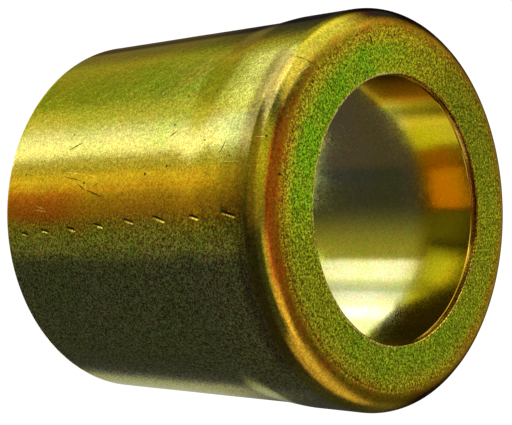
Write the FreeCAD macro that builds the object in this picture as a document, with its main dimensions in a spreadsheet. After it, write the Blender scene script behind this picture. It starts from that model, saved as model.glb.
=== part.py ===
# Drawn metal sleeve bushing: one thin-walled cup with a pierced inward flange.
#
# Frame: +Z along the sleeve's axis. The open end stands on z = 0 and the flat
# flange face is on top, at z = overall_length. The origin is the centre of the
# open end. -Y is the side that carries the row of tool nicks.
# Millimetres throughout.

import FreeCAD, Part
import Sketcher
import math
import os

V = FreeCAD.Vector

doc = FreeCAD.newDocument("sleeve_bushing")

# ---------------------------------------------------------------- dimensions
SIZES = [
    # alias, value, what it is
    ("overall_length", 38.0, "open end to flange face"),
    ("barrel_dia", 40.1, "outside diameter of the straight barrel"),
    ("collar_dia", 40.65, "outside diameter of the collar under the shoulder"),
    ("wall_thick", 0.9, "sheet thickness of barrel and flange"),
    ("hole_dia", 26.9, "pierced hole in the flange"),
    ("shoulder_rad", 2.6, "outside radius from collar to flange face"),
    ("root_rad", 1.7, "inside radius from barrel wall to flange"),
    ("flare_low", 25.9, "height at which the barrel starts to flare"),
    ("flare_high", 29.9, "height at which the flare reaches the collar"),
    ("ring_mid_rad", 17.95, "radius of the coined ring line on the face"),
    ("ring_half_width", 0.17, "half width of the coined ring line"),
    ("ring_depth", 0.06, "depth of the coined ring line"),
    ("pierce_roll", 0.2, "rolled edge of the pierced hole, outer side"),
    ("mouth_break", 0.15, "broken edges of the open end"),
    ("nick_width", 0.34, "width of one tool nick"),
    ("nick_run", 1.35, "length of one tool nick"),
    ("nick_depth", 0.14, "depth of one tool nick below the barrel's surface"),
    ("nick_lean", 15.0, "lean of a nick from the axis, degrees"),
]

sheet = doc.addObject("Spreadsheet::Sheet", "dims")
for row, (alias, value, what) in enumerate(SIZES, start=1):
    sheet.set("A%d" % row, what)
    sheet.set("B%d" % row, str(value))
    sheet.setAlias("B%d" % row, alias)
doc.recompute()
D = {alias: float(value) for alias, value, _ in SIZES}


def origin_feature(body, role):
    for feature in body.Origin.OriginFeatures:
        if feature.Role == role:
            return feature
    raise RuntimeError("no origin feature " + role)


def bind(sketch, name, expression):
    sketch.setExpression("Constraints." + name, expression)


def dimension(sketch, kind, name, value, expression, *refs):
    index = sketch.addConstraint(Sketcher.Constraint(kind, *refs, value))
    sketch.renameConstraint(index, name)
    if expression:
        bind(sketch, name, expression)
    return index


# ------------------------------------------------------------------ the shell
body = doc.addObject("PartDesign::Body", "sleeve_shell")
body.Label = "sleeve_shell"

# Half section of the drawn cup, in the XZ plane: x is the radius, y the height.
rb = D["barrel_dia"] / 2
rc = D["collar_dia"] / 2
ri = rb - D["wall_thick"]
rh = D["hole_dia"] / 2
top = D["overall_length"]
wall = D["wall_thick"]
ro = D["shoulder_rad"]
rin = D["root_rad"]
z1 = D["flare_low"]
z2 = D["flare_high"]
rise = (rc - rb) / 2
turn = 2 * math.atan((rc - rb) / (z2 - z1))
flare_rad = (z2 - z1) / 2 / math.sin(turn)
zm = (z1 + z2) / 2

profile = body.newObject("Sketcher::SketchObject", "cup_section")
profile.AttachmentSupport = (origin_feature(body, "XZ_Plane"), [""])
profile.MapMode = "FlatFace"


def line(sketch, a, b):
    return sketch.addGeometry(Part.LineSegment(V(a[0], a[1], 0), V(b[0], b[1], 0)), False)


def arc(sketch, centre, radius, start, end):
    circle = Part.Circle(V(centre[0], centre[1], 0), V(0, 0, 1), radius)
    return sketch.addGeometry(Part.ArcOfCircle(circle, start, end), False)


mouth = line(profile, (ri, 0), (rb, 0))
barrel = line(profile, (rb, 0), (rb, z1))
# flare: two equal tangent arcs that make a shallow S
lower = arc(profile, (rb + flare_rad, z1), flare_rad, math.pi - turn, math.pi)
upper = arc(profile, (rc - flare_rad, z2), flare_rad, -turn, 0.0)
collar = line(profile, (rc, z2), (rc, top - ro))
shoulder = arc(profile, (rc - ro, top - ro), ro, 0.0, math.pi / 2)
face = line(profile, (rc - ro, top), (rh, top))
pierce = line(profile, (rh, top), (rh, top - wall))
under = line(profile, (rh, top - wall), (ri - rin, top - wall))
root = arc(profile, (ri - rin, top - wall - rin), rin, 0.0, math.pi / 2)
bore = line(profile, (ri, top - wall - rin), (ri, 0))

C = Sketcher.Constraint
profile.addConstraint([
    C("Coincident", mouth, 2, barrel, 1),
    C("Coincident", bore, 2, mouth, 1),
    C("Tangent", barrel, 2, lower, 2),
    C("Tangent", lower, 1, upper, 1),
    C("Tangent", upper, 2, collar, 1),
    C("Tangent", collar, 2, shoulder, 1),
    C("Tangent", shoulder, 2, face, 1),
    C("Coincident", face, 2, pierce, 1),
    C("Coincident", pierce, 2, under, 1),
    C("Tangent", under, 2, root, 2),
    C("Tangent", root, 1, bore, 1),
    C("Horizontal", mouth),
    C("Vertical", barrel),
    C("Vertical", collar),
    C("Horizontal", face),
    C("Vertical", pierce),
    C("Horizontal", under),
    C("Vertical", bore),
    C("Equal", lower, upper),
    C("PointOnObject", mouth, 1, -1),
])
dimension(profile, "DistanceX", "barrel_rad", rb, "dims.barrel_dia / 2", -1, 1, mouth, 2)
dimension(profile, "DistanceX", "bore_rad", ri, "dims.barrel_dia / 2 - dims.wall_thick", -1, 1, mouth, 1)
dimension(profile, "DistanceX", "collar_rad", rc, "dims.collar_dia / 2", -1, 1, collar, 1)
dimension(profile, "DistanceY", "flare_start", z1, "dims.flare_low", -1, 1, barrel, 2)
dimension(profile, "DistanceY", "flare_end", z2, "dims.flare_high", -1, 1, collar, 1)
dimension(profile, "Radius", "shoulder_rad", ro, "dims.shoulder_rad", shoulder)
dimension(profile, "DistanceY", "face_height", top, "dims.overall_length", -1, 1, face, 2)
dimension(profile, "DistanceX", "hole_rad", rh, "dims.hole_dia / 2", -1, 1, face, 2)
dimension(profile, "DistanceY", "flange_thick", wall, "dims.wall_thick", pierce, 2, pierce, 1)
dimension(profile, "Radius", "root_rad", rin, "dims.root_rad", root)
doc.recompute()

shell = body.newObject("PartDesign::Revolution", "drawn_cup")
shell.Profile = profile
shell.ReferenceAxis = (profile, ["V_Axis"])
shell.Angle = 360.0
doc.recompute()
cup_volume = shell.Shape.Volume

# ------------------------------------------- coined ring line on the flat face
ring = body.newObject("Sketcher::SketchObject", "ring_section")
ring.AttachmentSupport = (origin_feature(body, "XZ_Plane"), [""])
ring.MapMode = "FlatFace"
rm = D["ring_mid_rad"]
hw = D["ring_half_width"]
dp = D["ring_depth"]
above = 0.5
g1 = line(ring, (rm - hw, top), (rm, top - dp))
g2 = line(ring, (rm, top - dp), (rm + hw, top))
g3 = line(ring, (rm + hw, top), (rm + hw, top + above))
g4 = line(ring, (rm + hw, top + above), (rm - hw, top + above))
g5 = line(ring, (rm - hw, top + above), (rm - hw, top))
ring.addConstraint([
    C("Coincident", g1, 2, g2, 1),
    C("Coincident", g2, 2, g3, 1),
    C("Coincident", g3, 2, g4, 1),
    C("Coincident", g4, 2, g5, 1),
    C("Coincident", g5, 2, g1, 1),
    C("Vertical", g3),
    C("Horizontal", g4),
    C("Vertical", g5),
    C("Equal", g1, g2),
])
dimension(ring, "DistanceX", "valley_rad", rm, "dims.ring_mid_rad", -1, 1, g1, 2)
dimension(ring, "DistanceX", "valley_width", 2 * hw, "dims.ring_half_width * 2", g1, 1, g2, 2)
dimension(ring, "DistanceY", "face_height", top, "dims.overall_length", -1, 1, g1, 1)
dimension(ring, "DistanceY", "valley_depth", dp, "dims.ring_depth", g1, 2, g1, 1)
dimension(ring, "DistanceY", "clear_above", above, None, g3, 1, g3, 2)
doc.recompute()

coined = body.newObject("PartDesign::Groove", "coined_ring")
coined.Profile = ring
coined.ReferenceAxis = (ring, ["V_Axis"])
coined.Angle = 360.0
doc.recompute()
ring_cut = cup_volume - coined.Shape.Volume
# the outer half of the valley lies where the shoulder has already begun to
# fall away, so the cut is a little less than the full valley
ring_full = 2 * math.pi * rm * hw * dp
print("ring cut %.3f mm3, full valley %.3f" % (ring_cut, ring_full))
if not 0.5 * ring_full < ring_cut < ring_full:
    raise RuntimeError("the coined ring did not cut as expected")

# ------------------------------------------------------------ row of tool nicks
# Eight shallow gouges along the -Y side. Each is a lens-ended slot cut to a
# flat depth; the row drifts slowly round the barrel towards the open end.
NICKS = [
    # height above the open end, sideways offset (mm), length factor
    (33.57, 0.04, 1.25),
    (29.06, 0.25, 1.00),
    (24.02, 0.35, 1.20),
    (19.67, 0.49, 1.05),
    (15.10, 0.87, 1.05),
    (10.79, 1.19, 0.95),
    (6.44, 1.36, 0.90),
    (2.99, 1.64, 0.80),
]
nicks = body.newObject("Sketcher::SketchObject", "nick_outlines")
nicks.AttachmentSupport = (origin_feature(body, "XZ_Plane"), [""])
nicks.MapMode = "FlatFace"
nicks.AttachmentOffset = FreeCAD.Placement(V(0, 0, rc + 1.0), FreeCAD.Rotation())
nicks.setExpression(".AttachmentOffset.Base.z", "dims.collar_dia / 2 + 1")
half_w = D["nick_width"] / 2
lean = math.radians(D["nick_lean"])
for height, aside, factor in NICKS:
    half = D["nick_run"] * factor / 2
    along = (math.sin(lean), math.cos(lean))
    across = (math.cos(lean), -math.sin(lean))
    corners = []
    for u, v in [(-half, 0), (-half * 0.35, half_w), (half * 0.7, half_w * 0.8),
                 (half, 0), (half * 0.35, -half_w), (-half * 0.7, -half_w * 0.8)]:
        corners.append((aside + along[0] * u + across[0] * v,
                        height + along[1] * u + across[1] * v))
    first = None
    last = None
    for i in range(6):
        g = line(nicks, corners[i], corners[(i + 1) % 6])
        nicks.addConstraint(C("Block", g))
        if first is None:
            first = g
        last = g
doc.recompute()

gouged = body.newObject("PartDesign::Pocket", "tool_nicks")
gouged.Profile = nicks
gouged.Type = 0
gouged.Length = 1.0 + (rc - rb) + D["nick_depth"]
gouged.setExpression(
    "Length", "1 + (dims.collar_dia - dims.barrel_dia) / 2 + dims.nick_depth")
gouged.Reversed = False
doc.recompute()
before = coined.Shape.Volume
if before - gouged.Shape.Volume < 0.01:
    gouged.Reversed = True
    doc.recompute()
nick_cut = before - gouged.Shape.Volume
print("nicks cut %.3f mm3" % nick_cut)
if not 0.05 < nick_cut < 3.0:
    raise RuntimeError("the tool nicks did not cut as expected")


# -------------------------------------------------------- rolled and broken edges
def circle_edges(feature, radius, height, tolerance=1e-3):
    found = []
    for i, edge in enumerate(feature.Shape.Edges, start=1):
        curve = edge.Curve
        if isinstance(curve, Part.Circle) and abs(curve.Radius - radius) < tolerance \
                and abs(curve.Center.z - height) < tolerance \
                and math.hypot(curve.Center.x, curve.Center.y) < tolerance:
            found.append("Edge%d" % i)
    if not found:
        raise RuntimeError("no edge of radius %.3f at height %.3f" % (radius, height))
    return found


rolled = body.newObject("PartDesign::Fillet", "pierced_edge")
rolled.Base = (gouged, circle_edges(gouged, rh, top))
rolled.Radius = D["pierce_roll"]
rolled.setExpression("Radius", "dims.pierce_roll")
doc.recompute()

broken = body.newObject("PartDesign::Fillet", "mouth_edges")
broken.Base = (rolled, circle_edges(rolled, rb, 0.0) + circle_edges(rolled, ri, 0.0))
broken.Radius = D["mouth_break"]
broken.setExpression("Radius", "dims.mouth_break")
doc.recompute()
body.Tip = broken
body.Placement = FreeCAD.Placement(V(0, 0, 0), FreeCAD.Rotation())
doc.recompute()

# ---------------------------------------------------------------------- checks
for item in doc.Objects:
    bad = [state for state in item.State if state in ("Invalid", "Error")]
    if bad:
        raise RuntimeError("%s is %s" % (item.Name, bad))
shape = body.Shape
if shape.isNull() or not shape.isValid():
    raise RuntimeError("the shell's shape is not valid")
if len(shape.Solids) != 1:
    raise RuntimeError("the shell must be one solid, not %d" % len(shape.Solids))
box = shape.BoundBox
print("shell volume %.1f mm3, box %.3f x %.3f x %.3f, z from %.3f" % (
    shape.Volume, box.XLength, box.YLength, box.ZLength, box.ZMin))

os.makedirs("parts", exist_ok=True)
shape.exportStep("parts/%s.step" % body.Label)
print("wrote parts/%s.step" % body.Label)
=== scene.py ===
# Looks for the drawn sleeve bushing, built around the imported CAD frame.
import math

import bpy
import numpy as np
from mathutils import Matrix, Vector


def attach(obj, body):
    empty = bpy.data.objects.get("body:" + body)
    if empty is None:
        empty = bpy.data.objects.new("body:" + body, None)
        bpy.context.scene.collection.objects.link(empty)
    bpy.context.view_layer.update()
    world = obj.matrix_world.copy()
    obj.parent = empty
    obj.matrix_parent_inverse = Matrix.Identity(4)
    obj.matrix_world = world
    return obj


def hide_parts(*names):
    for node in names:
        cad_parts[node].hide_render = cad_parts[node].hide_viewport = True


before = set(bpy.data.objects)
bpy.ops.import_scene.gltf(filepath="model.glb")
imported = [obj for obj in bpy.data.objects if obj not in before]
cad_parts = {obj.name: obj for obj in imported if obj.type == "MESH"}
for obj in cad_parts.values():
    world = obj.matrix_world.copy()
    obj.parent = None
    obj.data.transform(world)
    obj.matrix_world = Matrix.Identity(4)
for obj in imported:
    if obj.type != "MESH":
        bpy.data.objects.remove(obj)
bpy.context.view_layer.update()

MM = 0.001

# ------------------------------------------------------------------ dimensions
# Millimetres, the same as the CAD shell's.
TOP = 38.0
RB = 20.05           # barrel outside
RC = 20.325          # collar outside
WALL = 0.9
RI = RB - WALL       # bore
RH = 13.45           # pierced hole
RO = 2.6             # shoulder
RIN = 1.7            # inside corner
Z1, Z2 = 25.9, 29.9  # flare
RING, RING_W, RING_D = 17.95, 0.20, 0.045
ROLL = 0.2           # rolled edge of the hole
BREAK = 0.15         # broken edges of the mouth


# -------------------------------------------------------------- node shorthand
class Graph:
    """Small helper that writes shader maths as plain calls."""

    def __init__(self, tree):
        self.tree = tree
        self.nodes = tree.nodes
        self.links = tree.links

    def put(self, socket, value):
        if isinstance(value, bpy.types.NodeSocket):
            self.links.new(value, socket)
        elif isinstance(value, (tuple, list)):
            n = len(socket.default_value)
            value = tuple(value)
            if n == 4 and len(value) == 3:
                value = value + (1.0,)
            socket.default_value = value
        else:
            socket.default_value = value

    def math(self, op, a, b=None, c=None, clamp=False):
        n = self.nodes.new("ShaderNodeMath")
        n.operation = op
        n.use_clamp = clamp
        self.put(n.inputs[0], a)
        if b is not None:
            self.put(n.inputs[1], b)
        if c is not None:
            self.put(n.inputs[2], c)
        return n.outputs[0]

    def add(self, a, b): return self.math("ADD", a, b)
    def sub(self, a, b): return self.math("SUBTRACT", a, b)
    def mul(self, a, b): return self.math("MULTIPLY", a, b)
    def div(self, a, b): return self.math("DIVIDE", a, b)
    def clamp(self, a): return self.math("ADD", a, 0.0, clamp=True)

    def step(self, x, lo, hi, out_lo=0.0, out_hi=1.0):
        """Smooth step of x from lo to hi, mapped to out_lo..out_hi."""
        n = self.nodes.new("ShaderNodeMapRange")
        n.interpolation_type = "SMOOTHERSTEP"
        n.clamp = True
        for i, v in enumerate((x, lo, hi, out_lo, out_hi)):
            self.put(n.inputs[i], v)
        return n.outputs[0]

    def linear(self, x, lo, hi, out_lo=0.0, out_hi=1.0):
        n = self.nodes.new("ShaderNodeMapRange")
        n.interpolation_type = "LINEAR"
        n.clamp = True
        for i, v in enumerate((x, lo, hi, out_lo, out_hi)):
            self.put(n.inputs[i], v)
        return n.outputs[0]

    def window(self, x, lo, hi, soft_lo, soft_hi=None):
        """1 between lo and hi, falling to 0 over the soft widths outside."""
        soft_hi = soft_lo if soft_hi is None else soft_hi
        a = self.step(x, lo - soft_lo, lo)
        b = self.step(x, hi, hi + soft_hi, 1.0, 0.0)
        return self.mul(a, b)

    def vec(self, x, y, z):
        n = self.nodes.new("ShaderNodeCombineXYZ")
        self.put(n.inputs[0], x)
        self.put(n.inputs[1], y)
        self.put(n.inputs[2], z)
        return n.outputs[0]

    def parts(self, v):
        n = self.nodes.new("ShaderNodeSeparateXYZ")
        self.put(n.inputs[0], v)
        return n.outputs[0], n.outputs[1], n.outputs[2]

    def vmul(self, v, xyz):
        n = self.nodes.new("ShaderNodeVectorMath")
        n.operation = "MULTIPLY"
        self.put(n.inputs[0], v)
        self.put(n.inputs[1], xyz)
        return n.outputs[0]

    def vadd(self, a, b):
        n = self.nodes.new("ShaderNodeVectorMath")
        n.operation = "ADD"
        self.put(n.inputs[0], a)
        self.put(n.inputs[1], b)
        return n.outputs[0]

    def vscale(self, v, s):
        n = self.nodes.new("ShaderNodeVectorMath")
        n.operation = "SCALE"
        self.put(n.inputs[0], v)
        self.put(n.inputs["Scale"], s)
        return n.outputs[0]

    def noise(self, v, scale, detail=2.0, rough=0.5, distortion=0.0):
        n = self.nodes.new("ShaderNodeTexNoise")
        n.noise_dimensions = "3D"
        self.put(n.inputs["Vector"], v)
        self.put(n.inputs["Scale"], scale)
        self.put(n.inputs["Detail"], detail)
        self.put(n.inputs["Roughness"], rough)
        self.put(n.inputs["Distortion"], distortion)
        return n.outputs["Fac"]

    def mix(self, fac, a, b, mode="MIX"):
        n = self.nodes.new("ShaderNodeMix")
        n.data_type = "RGBA"
        n.blend_type = mode
        n.clamp_factor = True
        self.put(n.inputs[0], fac)
        self.put(n.inputs[6], a)
        self.put(n.inputs[7], b)
        return n.outputs[2]

    def blend(self, fac, a, b):
        n = self.nodes.new("ShaderNodeMix")
        n.data_type = "FLOAT"
        n.clamp_factor = True
        self.put(n.inputs[0], fac)
        self.put(n.inputs[2], a)
        self.put(n.inputs[3], b)
        return n.outputs[0]


# ----------------------------------------------------------------- camera first
camera_data = bpy.data.cameras.new("camera")
camera = bpy.data.objects.new("camera", camera_data)
bpy.context.scene.collection.objects.link(camera)
right = Vector((0.02444, 0.68046, 0.73238))
up = Vector((-0.99970, 0.01613, 0.01838))
back = Vector((0.00069, -0.73261, 0.68065))
turn = Matrix((right, up, back)).transposed().to_4x4()
RIM = RC * MM
camera.matrix_world = Matrix.Translation(
    Vector((0.0, -5.1974 * RIM, (5.7237 - 1.871) * RIM + TOP * MM))) @ turn
camera_data.sensor_width = 36.0
camera_data.lens = 1313.0 / 512.0 * 36.0
camera_data.clip_start = 0.005
camera_data.clip_end = 20.0
camera_data.dof.use_dof = False
bpy.context.scene.camera = camera


# --------------------------------------------------------------- section points
def flare_radius(z):
    s = np.clip((z - Z1) / (Z2 - Z1), 0.0, 1.0)
    s = s * s * (3 - 2 * s)
    return RB + (RC - RB) * s


NICKS = [
    # height, sideways offset round the barrel, length, lean, depth, half width
    (33.57, 0.04, 1.72, 15.0, 0.11, 0.14),
    (29.06, 0.25, 1.35, 14.0, 0.11, 0.14),
    (24.02, 0.35, 1.62, 17.0, 0.12, 0.15),
    (19.67, 0.49, 1.42, 15.0, 0.11, 0.14),
    (15.10, 0.87, 1.42, 13.0, 0.11, 0.14),
    (10.79, 1.19, 1.28, 16.0, 0.10, 0.135),
    (6.44, 1.36, 1.22, 14.0, 0.09, 0.13),
    (2.99, 1.64, 1.08, 15.0, 0.08, 0.13),
]


def spread(points, gap):
    """Sorted, with near-duplicates dropped."""
    kept = []
    for p in sorted(points):
        if not kept or p - kept[-1] > gap:
            kept.append(p)
    return kept


outer_z = list(np.linspace(BREAK, TOP - RO, 78))
for z0, _, run, _, _, _ in NICKS:
    half = run / 2 + 0.14
    outer_z += list(np.arange(z0 - half, z0 + half, 0.105))
outer_z = spread([z for z in outer_z if BREAK <= z <= TOP - RO], 0.055)
outer_z[0] = BREAK
outer_z[-1] = TOP - RO

section = []   # (radius, height) in mm, outside going up, then inward and down the bore


def along(points):
    for p in points:
        if not section or math.hypot(p[0] - section[-1][0], p[1] - section[-1][1]) > 1e-4:
            section.append((float(p[0]), float(p[1])))


along([(RB - BREAK + BREAK * math.sin(a), BREAK - BREAK * math.cos(a))
       for a in np.linspace(0, math.pi / 2, 5)])
along([(float(flare_radius(z)), z) for z in outer_z])
along([(RC - RO + RO * math.cos(a), TOP - RO + RO * math.sin(a))
       for a in np.linspace(0, math.pi / 2, 27)])
face_r = list(np.linspace(RC - RO, RH + ROLL, 22))
face_r = sorted(face_r, reverse=True)
along([(r, TOP) for r in face_r])
along([(RH + ROLL - ROLL * math.sin(a), TOP - ROLL + ROLL * math.cos(a))
       for a in np.linspace(0, math.pi / 2, 7)])
along([(RH, z) for z in np.linspace(TOP - ROLL, TOP - WALL + 0.04, 4)])
along([(RH + 0.04, TOP - WALL)])
along([(r, TOP - WALL) for r in np.linspace(RH + 0.3, RI - RIN, 8)])
along([(RI - RIN + RIN * math.cos(a), TOP - WALL - RIN + RIN * math.sin(a))
       for a in np.linspace(math.pi / 2, 0, 12)])
along([(RI, z) for z in np.linspace(TOP - WALL - RIN, BREAK, 36)])
along([(RI + BREAK - BREAK * math.cos(a), BREAK - BREAK * math.sin(a))
       for a in np.linspace(0, math.pi / 2, 5)][:-1])
along([(RI + BREAK, 0.0)])


# extra rows across the coined ring line, which runs from the flat on to the shoulder
def ring_drop(r):
    return RING_D * np.clip(1 - np.abs(r - RING) / RING_W, 0, 1) ** 0.8


rows = []
for i, (r, z) in enumerate(section):
    rows.append((r, z))
fine = []
for r in np.linspace(RING + RING_W * 1.15, RING - RING_W * 1.15, 13):
    if r > RC - RO:
        z = TOP - RO + math.sqrt(max(0.0, RO * RO - (r - (RC - RO)) ** 2))
    else:
        z = TOP
    fine.append((float(r), float(z)))
start = max(i for i, (r, z) in enumerate(rows) if z > TOP - 0.6 and r > fine[0][0] + 0.02)
end = min(i for i, (r, z) in enumerate(rows) if i > start and z > TOP - 0.01 and r < fine[-1][0] - 0.02)
rows = rows[:start + 1] + fine + rows[end:]
rows = np.array(rows)

# ------------------------------------------------------------------ column angles
# Angle runs from -Y towards +X. Columns are close together under the nicks.
dense = np.radians(np.arange(-0.75, 6.1, 0.135))
loose_count = 216
loose = np.linspace(dense[-1], dense[0] + 2 * math.pi, loose_count + 1)[1:-1]
angles = np.concatenate([dense, loose])

nr, nc = len(rows), len(angles)
R0 = np.repeat(rows[:, 0:1], nc, axis=1)
Z0 = np.repeat(rows[:, 1:2], nc, axis=1)
PHI = np.repeat(angles[None, :], nr, axis=0)

# section normals in the (radius, height) plane, outward from the metal
nxt = np.roll(rows, -1, axis=0)
prv = np.roll(rows, 1, axis=0)
tangent = nxt - prv
tangent /= np.linalg.norm(tangent, axis=1, keepdims=True)
normal = np.stack([tangent[:, 1], -tangent[:, 0]], axis=1)
NR = np.repeat(normal[:, 0:1], nc, axis=1)
NZ = np.repeat(normal[:, 1:2], nc, axis=1)

sink = np.zeros((nr, nc))          # depth below the true surface, mm
nick_wall_shade = np.zeros((nr, nc))          # dark upper wall of each nick
outer = (R0 > RB - 0.5) & (NR > 0.3) & (Z0 > BREAK)
phi_signed = (PHI + math.pi) % (2 * math.pi) - math.pi

# coined ring line on the face
on_top = (Z0 > TOP - 0.4) & (NZ > 0.5)
pressed = 0.35 + 0.65 * np.clip((1.75 - np.abs(phi_signed + 0.1)) / 0.7, 0, 1)
sink += np.where(on_top, ring_drop(R0) * pressed, 0.0)

# very slight waviness that drawn sheet has: long, shallow, a few microns
wave = (0.006 * np.sin(3 * PHI + 0.6 + 0.05 * Z0) + 0.004 * np.sin(7 * PHI + 1.9 - 0.11 * Z0)
        + 0.003 * np.sin(0.55 * Z0 + 2 * PHI) + 0.0025 * np.sin(13 * PHI + 0.31 * Z0))
sink += np.where(outer, 0.012 + wave, 0.0)

# tool nicks: a short gouge
for z0, side, run, lean, depth, half_w in NICKS:
    a = math.radians(lean)
    s = phi_signed * RB - side
    h = Z0 - z0
    u = h * math.cos(a) + s * math.sin(a)
    v = s * math.cos(a) - h * math.sin(a)
    eu = np.clip(1 - (2 * u / run) ** 2, 0, 1) ** 0.4
    ev = np.clip(1 - (v / half_w) ** 2, 0, 1) ** 0.9
    gouge = depth * eu * ev
    sink += np.where(outer & (np.abs(phi_signed) < 0.4), gouge, 0.0)
    # painted shade along the upper wall of each nick
    upper = np.clip(1 - (2 * u / (run * 1.05)) ** 2, 0, 1) ** 0.5 * np.clip(
        1 - ((v + 0.13) / 0.125) ** 2, 0, 1) ** 0.4
    nick_wall_shade = np.maximum(nick_wall_shade, np.where(outer & (np.abs(phi_signed) < 0.4), upper, 0.0))

# torn notch on the pierced edge; a burr term is computed but not used
edge = np.exp(-((R0 - RH) / 0.5) ** 2) * np.where(Z0 > TOP - WALL - 0.1, 1, 0)
notch = np.exp(-((phi_signed - math.radians(77.5)) * RH / 0.35) ** 2)
inner_edge = (R0 < RH + 0.35) & (Z0 > TOP - WALL - 0.1)
sink += np.where(inner_edge, 0.20 * notch, 0.0)

RR = R0 - sink * NR
ZZ = Z0 - sink * NZ
# the pierced hole is a little uneven
RR += np.where(inner_edge, 0.018 * np.sin(5 * PHI + 0.4) + 0.012 * np.sin(11 * PHI + 2.0)
               + 0.012, 0.0)

X = RR * np.sin(PHI) * MM
Y = -RR * np.cos(PHI) * MM
verts = np.stack([X, Y, ZZ * MM], axis=-1).reshape(-1, 3)

ii, jj = np.meshgrid(np.arange(nr), np.arange(nc), indexing="ij")
i2 = (ii + 1) % nr
j2 = (jj + 1) % nc
faces = np.stack([ii * nc + jj, ii * nc + j2, i2 * nc + j2, i2 * nc + jj], axis=-1).reshape(-1, 4)

mesh = bpy.data.meshes.new("sleeve")
mesh.vertices.add(len(verts))
mesh.vertices.foreach_set("co", verts.astype(np.float32).ravel())
mesh.loops.add(faces.size)
mesh.loops.foreach_set("vertex_index", faces.astype(np.int32).ravel())
mesh.polygons.add(len(faces))
mesh.polygons.foreach_set("loop_start", np.arange(0, faces.size, 4, dtype=np.int32))
mesh.polygons.foreach_set("loop_total", np.full(len(faces), 4, np.int32))
mesh.update(calc_edges=True)
mesh.validate()
mark = mesh.attributes.new("nick_shadow", "FLOAT", "POINT")
mark.data.foreach_set("value", nick_wall_shade.astype(np.float32).ravel())
mesh.polygons.foreach_set("use_smooth", np.ones(len(mesh.polygons), bool))
print("rows", nr, "columns", nc, "faces", len(mesh.polygons))

sleeve = bpy.data.objects.new("sleeve", mesh)
bpy.context.scene.collection.objects.link(sleeve)
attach(sleeve, "root")
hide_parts("sleeve_shell")


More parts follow.
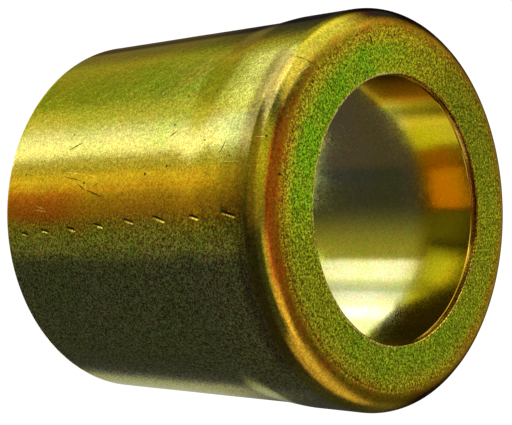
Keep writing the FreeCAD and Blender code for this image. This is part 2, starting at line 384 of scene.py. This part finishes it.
# --------------------------------------------------------------------- material
def bronze_material():
    """Yellow-passivated drawn metal: gold with green and orange interference
    zones, brush marks, grain, pits and handling scratches."""
    mat = bpy.data.materials.new("bronze")
    mat.use_nodes = True
    tree = mat.node_tree
    tree.nodes.clear()
    g = Graph(tree)
    out = tree.nodes.new("ShaderNodeOutputMaterial")
    bsdf = tree.nodes.new("ShaderNodeBsdfPrincipled")
    g.links.new(bsdf.outputs[0], out.inputs[0])
    coord = tree.nodes.new("ShaderNodeTexCoord").outputs["Object"]
    p = g.vscale(coord, 1000.0)          # millimetres
    x, y, z = g.parts(p)
    r = g.math("SQRT", g.add(g.mul(x, x), g.mul(y, y)))
    phi = g.math("ARCTAN2", x, g.mul(y, -1.0))      # radians, from -Y towards +X
    deg = g.mul(phi, 180 / math.pi)

    # depth through the sheet: 2.33 and more outside, 1.7 and less inside
    dr = g.math("MAXIMUM", g.sub(r, RC - RO), 0.0)
    dz = g.math("MAXIMUM", g.sub(z, TOP - RO), 0.0)
    depth = g.math("SQRT", g.add(g.mul(dr, dr), g.mul(dz, dz)))
    inside = g.step(depth, 1.95, 2.1, 1.0, 0.0)
    outside = g.sub(1.0, inside)
    face = g.mul(g.step(z, 37.3, 37.9), outside)
    barrel = g.mul(g.step(z, 34.6, 36.2, 1.0, 0.0), outside)
    shoulder = g.clamp(g.sub(outside, g.add(face, barrel)))

    # coordinates that follow the tool marks
    s_, c_ = g.math("SINE", phi), g.math("COSINE", phi)
    lean = g.add(phi, g.mul(z, 1 / RB))
    diag = g.vec(g.mul(g.math("SINE", lean), RB), g.mul(g.math("COSINE", lean), RB), g.mul(z, 0.09))
    lean2 = g.sub(phi, g.mul(z, 0.25 / RB))
    diag2 = g.vec(g.mul(g.math("SINE", lean2), RB), g.mul(g.math("COSINE", lean2), RB),
                  g.mul(z, 0.05))
    axial = g.vec(g.mul(s_, RB), g.mul(c_, RB), g.mul(z, 0.045))
    rings = g.vec(g.mul(s_, 0.9), g.mul(c_, 0.9), r)
    radial = g.vec(g.mul(s_, 15.0), g.mul(c_, 15.0), g.mul(r, 0.12))

    # noises
    broad = g.noise(p, 1 / 9.0, 3.0, 0.55)
    broad2 = g.noise(g.vadd(p, (31.0, 7.0, 3.0)), 1 / 6.0, 3.0, 0.55)
    mid = g.noise(p, 1 / 2.2, 3.0, 0.6)
    mottle = g.noise(p, 1 / 0.40, 2.0, 0.7)
    mottle2 = g.noise(g.vadd(p, (5.0, 17.0, 11.0)), 1 / 0.23, 1.0, 0.6)
    grain = g.noise(g.vadd(p, (3.0, 1.0, 9.0)), 1 / 0.17, 1.0, 0.5)
    grain2 = g.noise(g.vadd(p, (13.0, 4.0, 2.0)), 1 / 0.15, 1.0, 0.5)
    n_diag = g.noise(diag, 1 / 0.30, 3.0, 0.6)
    n_diag2 = g.noise(diag2, 1 / 0.34, 3.0, 0.6)
    n_axial = g.noise(axial, 1 / 0.28, 3.0, 0.6)
    n_rings = g.noise(rings, 1 / 0.17, 3.0, 0.6)
    n_radial = g.noise(radial, 1 / 0.20, 2.0, 0.6)

    gold = (0.62, 0.50, 0.045)
    olive = (0.50, 0.49, 0.030)
    green = (0.27, 0.47, 0.012)
    orange = (0.70, 0.335, 0.012)
    red = (0.66, 0.17, 0.015)
    brown = (0.50, 0.30, 0.02)
    pale = (0.62, 0.62, 0.22)
    inner = (0.60, 0.535, 0.135)

    colour = g.mix(g.step(broad, 0.38, 0.64), gold, olive)

    # barrel: green up the side, orange along the underside of it, red near the mouth
    up_side = g.mul(barrel, g.window(deg, -64.0, -40.0, 10.0, 8.0))
    up_side = g.mul(up_side, g.step(z, 26.5, 31.0, 1.0, 0.25))
    streak_g = g.step(g.add(g.mul(n_diag, 0.6), g.mul(broad2, 0.55)), 0.44, 0.68)
    colour = g.mix(g.mul(up_side, g.add(0.05, g.mul(streak_g, 0.62))), colour, green)
    # painted highlight: a thin bright gold line along the barrel
    barrel_highlight_line = g.mul(barrel, g.window(g.add(deg, g.mul(g.sub(mid, 0.5), 3.0)), -12.0, -8.5, 2.5, 2.0))
    colour = g.mix(g.mul(barrel_highlight_line, 0.65), colour, (0.86, 0.56, 0.03))
    warm_edge = g.add(deg, g.mul(g.sub(broad2, 0.5), 9.0))
    warm = g.mul(barrel, g.window(warm_edge, -8.0, 0.0, 4.0, 6.0))
    colour = g.mix(g.mul(warm, g.step(z, 10.0, 16.0, 0.80, 0.62)), colour, orange)
    near_mouth = g.step(g.add(z, g.mul(g.sub(broad, 0.5), 12.0)), 9.0, 14.0, 1.0, 0.0)
    hot = g.mul(g.mul(barrel, near_mouth), g.window(warm_edge, -6.5, -1.0, 2.5, 3.0))
    colour = g.mix(g.mul(hot, 0.80), colour, red)
    under = g.mul(barrel, g.window(deg, 62.0, 150.0, 8.0, 20.0))
    colour = g.mix(g.mul(under, 0.6), colour, (0.50, 0.55, 0.24))
    # painted shade: dark brown along the top edge of the flank
    top_edge_shade = g.mul(barrel, g.window(deg, -125.0, -70.0, 12.0, 6.0))
    colour = g.mix(g.mul(top_edge_shade, 0.80), colour, (0.36, 0.15, 0.02))
    # painted highlight: a pale patch on the upper flank below the collar
    collar_highlight = g.mul(barrel, g.mul(g.window(deg, -58.0, -18.0, 8.0, 8.0), g.step(z, 29.8, 32.5)))
    colour = g.mix(g.mul(collar_highlight, 0.5), colour, (0.78, 0.72, 0.10))

    # shoulder: painted shade, brown and darker, where it starts to turn; red by the flank
    turn_shade = g.mul(outside, g.mul(g.window(z, 34.8, 36.3, 1.3, 0.5), g.window(deg, -44.0, 36.0, 9.0, 20.0)))
    colour = g.mix(g.mul(turn_shade, 0.6), colour, (0.36, 0.19, 0.02))
    turn_w = g.mul(outside, g.window(r, 18.85, 19.35, 0.20, 0.30))
    turn_w = g.mul(turn_w, g.step(z, 35.6, 36.4))
    side_w = g.window(g.add(deg, g.mul(g.sub(mid, 0.5), 14.0)), -27.0, 24.0, 10.0, 14.0)
    colour = g.mix(g.mul(g.mul(turn_w, side_w), 0.88), colour, (0.66, 0.12, 0.015))
    low_w = g.mul(outside, g.mul(g.window(r, 18.2, 20.0, 0.3, 0.3), g.window(deg, 28.0, 95.0, 12.0, 15.0)))
    low_w = g.mul(low_w, g.step(z, 35.4, 36.2))
    colour = g.mix(g.mul(low_w, 0.25), colour, orange)
    # painted highlight: a bright gold line on the shoulder's lower side
    shoulder_highlight = g.mul(outside, g.mul(g.window(r, 19.2, 19.6, 0.22, 0.18), g.window(deg, 26.0, 84.0, 12.0, 16.0)))
    shoulder_highlight = g.mul(shoulder_highlight, g.step(z, 35.6, 36.2))
    colour = g.mix(g.mul(shoulder_highlight, 0.75), colour, (0.95, 0.70, 0.06))

    # painted shade: the outer edge on the far side is coloured dark brown and darkened
    far = g.sub(1.0, g.window(deg, -62.0, 80.0, 22.0, 26.0))
    far_edge_shade = g.mul(g.mul(outside, g.mul(g.step(r, 18.1, 19.5), g.step(z, 34.6, 35.8))), far)
    colour = g.mix(g.mul(far_edge_shade, 0.9), colour, (0.24, 0.10, 0.012))

    # face: green band inside the coined line, browner to the outside
    fr = g.add(r, g.mul(g.sub(broad2, 0.5), 0.9))
    colour = g.mix(g.mul(face, 0.75), colour, (0.50, 0.445, 0.016))
    left_green = g.window(deg, -62.0, -12.0, 55.0, 30.0)
    low_green = g.window(deg, 62.0, 118.0, 22.0, 40.0)
    sweep = g.add(g.mul(left_green, 0.66), g.mul(low_green, 0.34))
    colour = g.mix(g.mul(g.mul(face, g.window(deg, -118.0, -78.0, 15.0, 12.0)), 0.8), colour, (0.66, 0.43, 0.016))
    patch = g.step(g.add(g.mul(mottle, 0.55), g.mul(mid, 0.5)), 0.42, 0.62)
    colour = g.mix(g.mul(face, g.add(0.02, g.mul(patch, 0.26))), colour, (0.33, 0.46, 0.012))
    band = g.mul(face, g.window(fr, 13.7, 15.9, 0.3, 1.5))
    colour = g.mix(g.mul(g.mul(band, g.add(0.20, sweep)), g.add(0.70, g.mul(patch, 0.5))), colour, (0.20, 0.47, 0.010))
    outer_band = g.mul(face, g.step(fr, 16.9, 18.3))
    colour = g.mix(g.mul(outer_band, 0.66), colour, (0.47, 0.29, 0.012))
    colour = g.mix(g.mul(g.mul(outer_band, g.step(mid, 0.45, 0.62)), 0.45), colour, red)

    # bore: clean bright metal low down, more strongly coloured towards the flange
    high = g.step(z, 24.0, 28.5)
    colour = g.mix(inside, colour, g.mix(high, inner, (0.46, 0.315, 0.010)))
    flame = g.mul(g.mul(inside, g.step(z, 21.0, 25.0)), g.window(deg, -139.0, -95.0, 4.0, 12.0))
    colour = g.mix(g.mul(flame, 0.9), colour, (0.52, 0.20, 0.012))
    smoky = g.step(g.noise(g.vadd(p, (2.0, 40.0, 8.0)), 1 / 7.0, 2.0, 0.5), 0.45, 0.65)
    colour = g.mix(g.mul(inside, g.mul(smoky, 0.25)), colour, (0.46, 0.50, 0.03))

    # fine green and orange mottling of the film
    shaded = g.mul(barrel, g.window(deg, 4.0, 150.0, 8.0, 25.0))
    amount = g.blend(inside, g.blend(shaded, 0.28, 0.80), g.blend(high, 0.5, 0.08))
    colour = g.mix(g.mul(amount, g.step(mottle2, 0.52, 0.62)), colour, green)
    colour = g.mix(g.mul(amount, g.step(mottle2, 0.48, 0.38)), colour, orange)
    rough_film = g.math("MAXIMUM", g.mul(face, g.step(r, 17.9, 18.7, 1.0, 0.0)), shaded)
    tone = g.add(1.0, g.mul(g.linear(grain, 0.34, 0.66, -1.0, 1.0), g.blend(rough_film, 0.28, 0.66)))
    tone = g.mul(tone, g.add(1.0, g.mul(g.linear(mottle, 0.34, 0.66, -1.0, 1.0), g.blend(rough_film, 0.16, 0.32))))
    tone = g.mul(tone, g.add(1.0, g.mul(g.linear(mottle2, 0.38, 0.62, -1.0, 1.0), g.blend(rough_film, 0.08, 0.48))))
    tone = g.blend(inside, tone, g.add(0.65, g.mul(tone, 0.35)))
    # painted light and shade on the face: lighter towards -62..-12 and -112..-82 degrees, darker towards -165..-122
    # and 5..70 degrees
    face_light_shade = g.add(g.mul(left_green, 0.28), g.mul(g.window(deg, -112.0, -82.0, 14.0, 14.0), 0.17))
    face_light_shade = g.sub(face_light_shade, g.mul(g.window(deg, -165.0, -122.0, 12.0, 12.0), 0.10))
    tone = g.mul(tone, g.blend(face, 1.0, g.sub(g.add(face_light_shade, 0.82), g.mul(g.window(deg, 5.0, 70.0, 12.0, 15.0), 0.07))))
    # painted shade: darker along the top and far edges
    tone = g.mul(tone, g.sub(1.0, g.mul(g.math("MAXIMUM", g.mul(top_edge_shade, 0.70), far_edge_shade), 0.80)))
    # painted highlight: brighter in the same patch below the collar
    tone = g.mul(tone, g.add(1.0, g.mul(collar_highlight, 0.12)))
    # painted shade: darker in the crease below the collar and where the shoulder turns
    crease_shade = g.mul(barrel, g.mul(g.window(deg, -22.0, 2.0, 6.0, 5.0), g.step(z, 31.0, 33.5)))
    tone = g.mul(tone, g.sub(1.0, g.mul(g.math("MAXIMUM", crease_shade, turn_shade), 0.34)))
    lines = g.add(g.mul(barrel, g.mul(g.sub(n_diag, 0.5), g.blend(up_side, 0.4, 1.6))),
                  g.mul(barrel, g.mul(g.sub(n_axial, 0.5), 0.35)))
    lines = g.add(lines, g.mul(g.mul(face, g.window(deg, -115.0, 60.0, 30.0, 30.0)),
                               g.mul(g.sub(n_rings, 0.5), 0.9)))
    lines = g.add(lines, g.mul(barrel, g.mul(g.sub(n_diag2, 0.5), 0.25)))
    tone = g.mul(tone, g.add(1.0, lines))

    # pits, scattered and a few that can be pointed at
    cells = tree.nodes.new("ShaderNodeTexVoronoi")
    g.put(cells.inputs["Vector"], p)
    g.put(cells.inputs["Scale"], 1 / 1.7)
    cell_r, cell_g, _ = g.parts(cells.outputs["Color"])
    pit_size = g.mul(g.step(cell_r, 0.55, 1.0), 0.11)
    pit = g.mul(g.step(g.sub(cells.outputs["Distance"], pit_size), -0.035, 0.0, 1.0, 0.0), outside)
    for where, size in PITS:
        n = tree.nodes.new("ShaderNodeVectorMath")
        n.operation = "DISTANCE"
        g.put(n.inputs[0], p)
        n.inputs[1].default_value = where
        pit = g.math("MAXIMUM", pit, g.step(n.outputs["Value"], size * 0.55, size, 1.0, 0.0))
    tone = g.mul(tone, g.sub(1.0, g.mul(pit, 0.80)))
    # painted shade on the upper wall of each nick, read from the nick_shadow attribute
    nick = tree.nodes.new("ShaderNodeAttribute")
    nick.attribute_name = "nick_shadow"
    tone = g.mul(tone, g.sub(1.0, g.mul(nick.outputs["Fac"], 0.93)))

    # scratches: distance to a short straight stroke
    def stroke(a, b, width):
        a, b = Vector(a), Vector(b)
        run = b - a
        n1 = tree.nodes.new("ShaderNodeVectorMath")
        n1.operation = "SUBTRACT"
        g.put(n1.inputs[0], p)
        n1.inputs[1].default_value = a
        n2 = tree.nodes.new("ShaderNodeVectorMath")
        n2.operation = "DOT_PRODUCT"
        g.links.new(n1.outputs[0], n2.inputs[0])
        n2.inputs[1].default_value = run / run.length_squared
        t = g.clamp(n2.outputs["Value"])
        n3 = tree.nodes.new("ShaderNodeVectorMath")
        n3.operation = "SCALE"
        n3.inputs[0].default_value = run
        g.put(n3.inputs["Scale"], t)
        n4 = tree.nodes.new("ShaderNodeVectorMath")
        n4.operation = "DISTANCE"
        g.links.new(n1.outputs[0], n4.inputs[0])
        g.links.new(n3.outputs[0], n4.inputs[1])
        taper = g.mul(g.sub(1.0, g.math("ABSOLUTE", g.sub(g.mul(t, 2.0), 1.0))), 0.5)
        return g.step(g.sub(n4.outputs["Value"], g.mul(taper, width * 0.7)), width * 0.05, width * 0.42, 1.0, 0.0)

    dark = 0.0
    for a, b, width in DARK_STROKES:
        m = stroke(a, b, width)
        dark = m if dark == 0.0 else g.math("MAXIMUM", dark, m)
    bright = 0.0
    for a, b, width in BRIGHT_STROKES:
        m = stroke(a, b, width)
        bright = m if bright == 0.0 else g.math("MAXIMUM", bright, m)

    dark = g.mul(dark, g.step(mottle, 0.30, 0.55, 0.45, 1.0))
    bright = g.mul(bright, g.step(mottle2, 0.30, 0.55, 0.3, 1.0))

    # hairlines: thin ridges of stretched noise, broken up by a coarser one
    def hairs(n, gate, low, high):
        ridge = g.math("ABSOLUTE", g.sub(n, 0.5))
        return g.mul(g.step(ridge, 0.0, 0.012, 1.0, 0.0), g.step(gate, low, high))

    hair_face = g.mul(g.mul(face, g.window(deg, -80.0, -18.0, 20.0, 15.0)), hairs(n_radial, mid, 0.58, 0.70))
    hair_barrel = g.mul(barrel, g.mul(g.window(deg, -70.0, 6.0, 20.0, 10.0), hairs(n_diag2, broad2, 0.52, 0.66)))
    hair_diag = g.mul(barrel, g.mul(g.window(deg, -75.0, -22.0, 10.0, 10.0), hairs(n_diag, mid, 0.56, 0.70)))
    hair_shoulder = g.mul(shoulder, hairs(g.noise(radial, 1 / 0.5, 2.0, 0.5), mottle, 0.52, 0.66))
    dark = g.math("MAXIMUM", dark, g.mul(hair_face, 0.5))
    dark = g.math("MAXIMUM", dark, g.mul(hair_shoulder, 0.35))
    dark = g.math("MAXIMUM", dark, g.mul(hair_barrel, 0.25))
    bright = g.math("MAXIMUM", bright, g.mul(hair_diag, 0.45))

    tone = g.mul(tone, g.sub(1.0, g.mul(dark, 0.84)))
    colour = g.mix(g.mul(bright, 0.55), colour, (0.92, 0.80, 0.24))
    tone = g.add(tone, g.mul(bright, 0.40))

    # wear: bare bright edge at the mouth; at the pierced hole a bright edge kept to the near side, a painted highlight
    rim = g.mul(g.window(r, 13.2, 13.72, 0.1, 0.10), g.step(z, 37.2, 37.75))
    mouth = g.step(z, 0.08, 0.30, 1.0, 0.0)
    wear_and_glint = g.math("MAXIMUM", g.mul(rim, 0.8), g.mul(mouth, 0.7))
    # painted shade and highlight on the wall of the pierced hole: dark brown round most of it, golden on one side
    hole_wall_shade_glint = g.mul(g.step(r, 13.50, 13.60, 1.0, 0.0), g.step(z, 36.9, 37.0))
    hole_wall_glint = g.window(deg, 92.0, 158.0, 12.0, 10.0)
    colour = g.mix(g.mul(hole_wall_shade_glint, 0.9), colour, g.mix(hole_wall_glint, (0.36, 0.16, 0.025), (0.95, 0.56, 0.06)))
    wear_and_glint = g.mul(wear_and_glint, g.sub(1.0, g.mul(rim, g.sub(1.0, g.window(deg, -75.0, 70.0, 25.0, 25.0)))))
    colour = g.mix(wear_and_glint, colour, (0.84, 0.66, 0.16))

    tone3 = g.vec(tone, tone, g.mul(tone, 1.6))
    shade = tree.nodes.new("ShaderNodeVectorMath")
    shade.operation = "MULTIPLY"
    g.links.new(colour, shade.inputs[0])
    g.links.new(tone3, shade.inputs[1])
    top = tree.nodes.new("ShaderNodeVectorMath")
    top.operation = "MINIMUM"
    g.links.new(shade.outputs[0], top.inputs[0])
    top.inputs[1].default_value = (0.98, 0.98, 0.98)
    g.links.new(top.outputs[0], bsdf.inputs["Base Color"])

    rough = g.blend(face, 0.185, 0.30)
    rough = g.blend(inside, rough, 0.105)
    rough = g.add(rough, g.mul(g.sub(mottle, 0.5), 0.10))
    rough = g.add(rough, g.mul(g.sub(broad, 0.5), 0.06))
    rough = g.add(rough, g.mul(g.math("MAXIMUM", pit, dark), 0.25))
    rough = g.sub(rough, g.mul(wear_and_glint, 0.06))
    g.links.new(g.math("MAXIMUM", rough, 0.05), bsdf.inputs["Roughness"])

    # heights in millimetres
    height = g.mul(grain2, g.blend(inside, 0.0040, 0.0006))
    height = g.add(height, g.mul(g.noise(p, 1 / 1.3, 2.0, 0.5), g.blend(inside, 0.010, 0.004)))
    height = g.add(height, g.mul(g.mul(barrel, n_diag), g.blend(up_side, 0.0030, 0.0055)))
    height = g.add(height, g.mul(g.mul(barrel, n_axial), 0.0014))
    height = g.add(height, g.mul(g.mul(face, n_rings), 0.0022))
    bump = tree.nodes.new("ShaderNodeBump")
    bump.inputs["Strength"].default_value = 1.0
    bump.inputs["Distance"].default_value = 0.001
    g.links.new(height, bump.inputs["Height"])
    g.links.new(bump.outputs[0], bsdf.inputs["Normal"])

    # the film warms what is seen at a low angle; along the far and top edges the tint is dark, a painted shade
    g.links.new(g.mix(g.math("MAXIMUM", far_edge_shade, top_edge_shade), (0.85, 0.74, 0.52), (0.20, 0.10, 0.04)),
                bsdf.inputs["Specular Tint"])

    bsdf.inputs["Metallic"].default_value = 1.0
    g.links.new(g.mul(outside, 0.11), bsdf.inputs["Coat Weight"])
    bsdf.inputs["Coat Roughness"].default_value = 0.12
    bsdf.inputs["Coat IOR"].default_value = 1.5
    return mat


# marks in millimetres: dark scratches, bright ones, pits
DARK_STROKES = [
    ((-14.45, -13.90, 36.57), (-14.12, -13.39, 37.34), 0.13),
    ((-14.12, -13.39, 37.34), (-13.68, -12.91, 37.76), 0.12),
    ((-17.07, -4.51, 38.00), (-16.12, -4.08, 38.00), 0.26),
    ((-12.38, -11.69, 38.00), (-11.03, -9.81, 38.00), 0.11),
    ((-9.93, -13.33, 38.00), (-9.01, -11.26, 38.00), 0.11),
    ((-7.09, -18.75, 9.42), (-7.71, -18.51, 11.24), 0.15),
    ((-2.79, -19.85, 13.21), (-2.05, -19.95, 15.60), 0.15),
    ((-4.30, -19.59, 9.30), (-3.75, -19.70, 12.40), 0.10),
    ((-3.55, -19.74, 11.60), (-2.70, -19.87, 13.10), 0.13),
    ((-3.10, -19.81, 14.10), (-3.45, -19.75, 15.00), 0.10),
    ((-5.54, -19.56, 31.86), (-6.78, -19.16, 32.40), 0.12),
    ((-7.65, -18.53, 24.35), (-8.09, -18.34, 25.15), 0.12),
]
BRIGHT_STROKES = [
    ((-12.98, -14.25, 37.49), (-13.52, -13.35, 37.67), 0.10),
    ((-12.49, -14.84, 37.39), (-13.13, -14.01, 37.54), 0.10),
    ((-10.00, -17.29, 36.70), (-9.90, -16.52, 37.50), 0.10),
    ((-4.75, -19.48, 9.80), (-4.35, -19.57, 12.70), 0.11),
    ((-4.30, -19.58, 13.40), (-4.05, -19.64, 14.60), 0.10),
    ((-10.32, -17.19, 3.23), (-10.78, -16.91, 3.49), 0.13),
    ((-15.01, -13.29, 20.39), (-15.53, -12.68, 20.79), 0.12),
    ((-0.93, -20.03, 4.76), (-0.71, -20.04, 6.94), 0.14),
    ((-1.29, -20.01, 5.15), (-1.00, -20.02, 6.52), 0.12),
    ((-6.93, -19.04, 35.97), (-6.82, -18.51, 37.06), 0.11),
    ((-4.84, -19.74, 31.58), (-4.75, -19.76, 35.29), 0.06),
    ((13.42, -2.98, 38.00), (14.60, -3.24, 38.00), 0.12),
    ((-8.83, -16.58, 37.79), (-8.63, -16.58, 37.79), 0.26),
    ((-12.57, -15.62, 15.60), (-12.57, -15.62, 15.80), 0.26),
    ((-12.15, -15.95, 20.62), (-12.15, -15.95, 20.82), 0.26),
]
PITS = [
    ((-11.55, -16.39, 24.80), 0.20),
    ((-11.79, -16.49, 28.84), 0.16),
    ((-4.10, -19.63, 21.80), 0.19),
    ((-4.74, -19.48, 24.73), 0.20),
    ((-4.74, -19.48, 2.84), 0.18),
    ((-6.97, -19.09, 29.58), 0.14),
    ((-5.31, -19.62, 33.23), 0.14),
]

sleeve.data.materials.append(bronze_material())

# ------------------------------------------------------------------------ stage
floor_mesh = bpy.data.meshes.new("floor")
s = 3.0
floor_mesh.from_pydata([(-s, -s, 0), (s, -s, 0), (s, s, 0), (-s, s, 0)], [], [(0, 1, 2, 3)])
floor = bpy.data.objects.new("floor", floor_mesh)
bpy.context.scene.collection.objects.link(floor)
floor.visible_glossy = False

# Low cards under the open mouth, seen only as reflections in the bore.
card_points, card_faces = [], []
for a0, a1 in ((-10, 180), (-180, -40)):
    first = True
    for a in np.arange(a0, a1 + 0.1, 4.0):
        wide = float(np.interp(a, (-12, 20, 45, 65), (0.74, 0.755, 0.93, 1.12)))
        if a1 < 0:
            wide = float(np.interp(a, (-78, -60, -40), (1.12, 1.03, 0.90)))
        for rr in (0.52 * RC, wide * RC):
            card_points.append((rr * math.sin(math.radians(a)) * MM,
                                -rr * math.cos(math.radians(a)) * MM, -RC * MM))
        i = len(card_points) // 2 - 1
        if not first:
            card_faces.append((2 * i - 2, 2 * i - 1, 2 * i + 1, 2 * i))
        first = False
card_mesh = bpy.data.meshes.new("card")
card_mesh.from_pydata(card_points, [], card_faces)
card = bpy.data.objects.new("card", card_mesh)
bpy.context.scene.collection.objects.link(card)
card.visible_camera = False
card.visible_diffuse = False
card.visible_shadow = False
card_mat = bpy.data.materials.new("card")
card_mat.use_nodes = True
card_tree = card_mat.node_tree
card_tree.nodes.clear()
glow = card_tree.nodes.new("ShaderNodeEmission")
cg = Graph(card_tree)
cx, cy, _ = cg.parts(card_tree.nodes.new("ShaderNodeTexCoord").outputs["Object"])
c_az = cg.mul(cg.math("ARCTAN2", cx, cg.mul(cy, -1.0)), 180 / math.pi)
c_r = cg.mul(cg.math("SQRT", cg.add(cg.mul(cx, cx), cg.mul(cy, cy))), 1 / RIM)
pale_part = cg.mul(cg.window(c_az, 74.0, 98.0, 14.0, 16.0), cg.step(c_r, 0.80, 1.05, 0.25, 1.0))
c_tone = cg.add(cg.mul(pale_part, 2.4), cg.mul(cg.window(c_az, 44.0, 110.0, 6.0, 14.0), 1.15))
c_tone = cg.add(c_tone, cg.mul(cg.window(c_az, 9.0, 36.0, 6.0, 9.0), 2.6))
c_tone = cg.add(c_tone, cg.mul(cg.window(c_az, 136.0, 172.0, 12.0, 8.0), 0.42))
c_light = cg.vscale((0.90, 1.12, 1.20), c_tone)
c_light = cg.vadd(c_light, cg.vscale((2.10, 1.05, 0.10), cg.window(c_az, -177.0, -120.0, 3.0, 6.0)))
c_light = cg.vadd(c_light, cg.vscale((1.00, 0.46, 0.05), cg.window(c_az, -113.0, -84.0, 5.0, 4.0)))
c_light = cg.vadd(c_light, cg.vscale((2.05, 2.60, 1.50), cg.window(c_az, -79.0, -36.0, 4.0, 2.0)))
card_tree.links.new(cg.vmul(c_light, (1.0, 1.0, 0.625)), glow.inputs[0])
glow.inputs[1].default_value = 1.0
card_out = card_tree.nodes.new("ShaderNodeOutputMaterial")
card_tree.links.new(glow.outputs[0], card_out.inputs[0])
card_mesh.materials.append(card_mat)

pale_floor = bpy.data.materials.new("pale_floor")
pale_floor.use_nodes = True
b = pale_floor.node_tree.nodes["Principled BSDF"]
b.inputs["Base Color"].default_value = (0.30, 0.30, 0.30, 1)
b.inputs["Roughness"].default_value = 0.9
b.inputs["Specular IOR Level"].default_value = 0.0
b.inputs["Emission Color"].default_value = (1, 1, 1, 1)
b.inputs["Emission Strength"].default_value = 0.97
floor_mesh.materials.append(pale_floor)


# ------------------------------------------------------------------ studio world
def studio_world():
    """A plain studio of soft panels round the sleeve, added together."""
    world = bpy.data.worlds.new("studio")
    world.use_nodes = True
    tree = world.node_tree
    tree.nodes.clear()
    g = Graph(tree)
    out = tree.nodes.new("ShaderNodeOutputWorld")
    bg = tree.nodes.new("ShaderNodeBackground")
    direction = tree.nodes.new("ShaderNodeTexCoord").outputs["Generated"]
    x, y, z = g.parts(direction)
    az = g.mul(g.math("ARCTAN2", x, g.mul(y, -1.0)), 180 / math.pi)
    az_back = g.math("WRAP", az, 360.0, 0.0)
    el = g.mul(g.math("ARCSINE", z), 180 / math.pi)
    colour = (0.058, 0.063, 0.115)
    for (a0, a1, sa, sb), (e0, e1, ea, eb), slant, panel in PANELS:
        around = az_back if a1 > 180 else az
        if slant:
            around = g.sub(around, g.mul(el, slant))
        w = g.window(around, a0, a1, sa, sb)
        if e0 > -89 and e1 < 89:
            w = g.mul(w, g.window(el, e0, e1, ea, eb))
        elif e0 > -89:
            w = g.mul(w, g.step(el, e0 - ea, e0))
        elif e1 < 89:
            w = g.mul(w, g.step(el, e1, e1 + eb, 1.0, 0.0))
        colour = g.vadd(colour, g.vscale(panel, w))
    g.links.new(g.vmul(colour, (1.0, 1.0, 0.625)), bg.inputs[0])
    bg.inputs[1].default_value = 1.0
    white = tree.nodes.new("ShaderNodeBackground")
    white.inputs[0].default_value = (1, 1, 1, 1)
    white.inputs[1].default_value = 1.0
    path = tree.nodes.new("ShaderNodeLightPath")
    pick = tree.nodes.new("ShaderNodeMixShader")
    g.links.new(path.outputs["Is Camera Ray"], pick.inputs[0])
    g.links.new(bg.outputs[0], pick.inputs[1])
    g.links.new(white.outputs[0], pick.inputs[2])
    g.links.new(pick.outputs[0], out.inputs[0])
    bpy.context.scene.world = world


PANELS = [
    # azimuth from, to, softness; elevation from, to, softness; slant; strength
    ((-138, -76, 12, 18), (-8, 36, 14, 14), 0.0, (1.10, 1.02, 0.95)),     # broad box, left
    ((-116, -64, 12, 8), (-90, -6, 1, 14), 0.0, (0.37, 0.36, 0.06)),      # its spill, low left
    ((-130, -52, 14, 10), (-90, -60, 1, 12), 0.0, (0.30, 0.29, 0.05)),    # low fill
    ((-156, -116, 10, 8), (-90, -45, 1, 4), 0.0, (0.22, 0.17, 0.04)),
    ((-77, -48, 8, 8), (-39, 2, 4, 10), 0.6, (1.60, 1.80, 5.20)),         # strip box
    ((-52, -43, 15, 4), (-90, -43, 1, 4), 0.0, (1.03, 1.21, 5.00)),       # low strip
    ((-68, -43, 15, 4), (-90, -43, 1, 4), 0.0, (0.42, 0.44, 0.40)),       # its glow
    ((-72, -34, 5, 3), (-39, -37.5, 2, 4), 0.0, (1.00, 1.18, 2.50)),      # its upper end
    ((-45, -35, 3, 2), (-39, -37.5, 2, 3), 0.0, (0.70, 0.70, 2.90)),      # two tubes in it
    ((-74, -57, 5, 3), (-39, -37.5, 2, 3), 0.0, (0.70, 0.70, 2.90)),
    ((-46, -38, 8, 48), (-90, 52, 1, 12), 0.0, (0.46, 0.45, 0.06)),       # front card
    ((-34, 2, 8, 8), (-14, 44, 14, 10), 0.0, (0.26, 0.15, 0.03)),         # its upper half
    ((-32, -3, 8, 8), (-90, -46, 1, 6), 0.0, (0.20, 0.10, 0.01)),         # its lower lip
    ((-26, -18, 3, 4), (-90, -46, 1, 4), 0.0, (0.30, 0.30, 0.16)),        # narrow low strip
    ((14, 72, 8, 14), (38, 56, 7, 8), 0.0, (0.85, 0.60, 0.40)),           # warm box, high right
    ((74, 120, 12, 12), (10, 46, 12, 8), 0.0, (0.60, 0.42, 0.28)),        # its far half
    ((4, 20, 6, 10), (-90, -44, 1, 4), 0.0, (0.15, 0.145, 0.12)),         # dim card, low front
    ((24, 120, 14, 20), (-90, -42, 1, 5), 0.0, (0.0, 0.006, 0.22)),       # cool room, low right
    ((34, 80, 10, 14), (-39, -37, 2, 2), 0.0, (0.060, 0.032, 0.03)),
    ((136, 172, 12, 10), (-12, 62, 10, 10), 0.0, (0.07, 0.06, 0.02)),
    ((138, 174, 12, 7), (-90, -45, 1, 5), 0.0, (0.55, 0.62, 0.80)),       # pale card, low right
    ((160, 204, 10, 10), (-14, 22, 12, 10), 0.0, (0.24, 0.19, 0.10)),     # low gold card, behind
    ((168, 212, 12, 10), (6, 58, 12, 10), 0.0, (0.22, 0.23, 0.15)),       # wall behind
    ((150, 212, 12, 10), (38, 60, 7, 10), 0.0, (0.26, 0.27, 0.15)),       # brighter above
    ((-179, 180, 0.5, 0.5), (68, 90, 14, 1), 0.0, (0.34, 0.10, 0.05)),    # overhead, dim and warm
]

studio_world()

scene = bpy.context.scene
scene.view_settings.view_transform = "Standard"
scene.view_settings.look = "None"
scene.view_settings.exposure = 0.0
scene.view_settings.gamma = 1.0
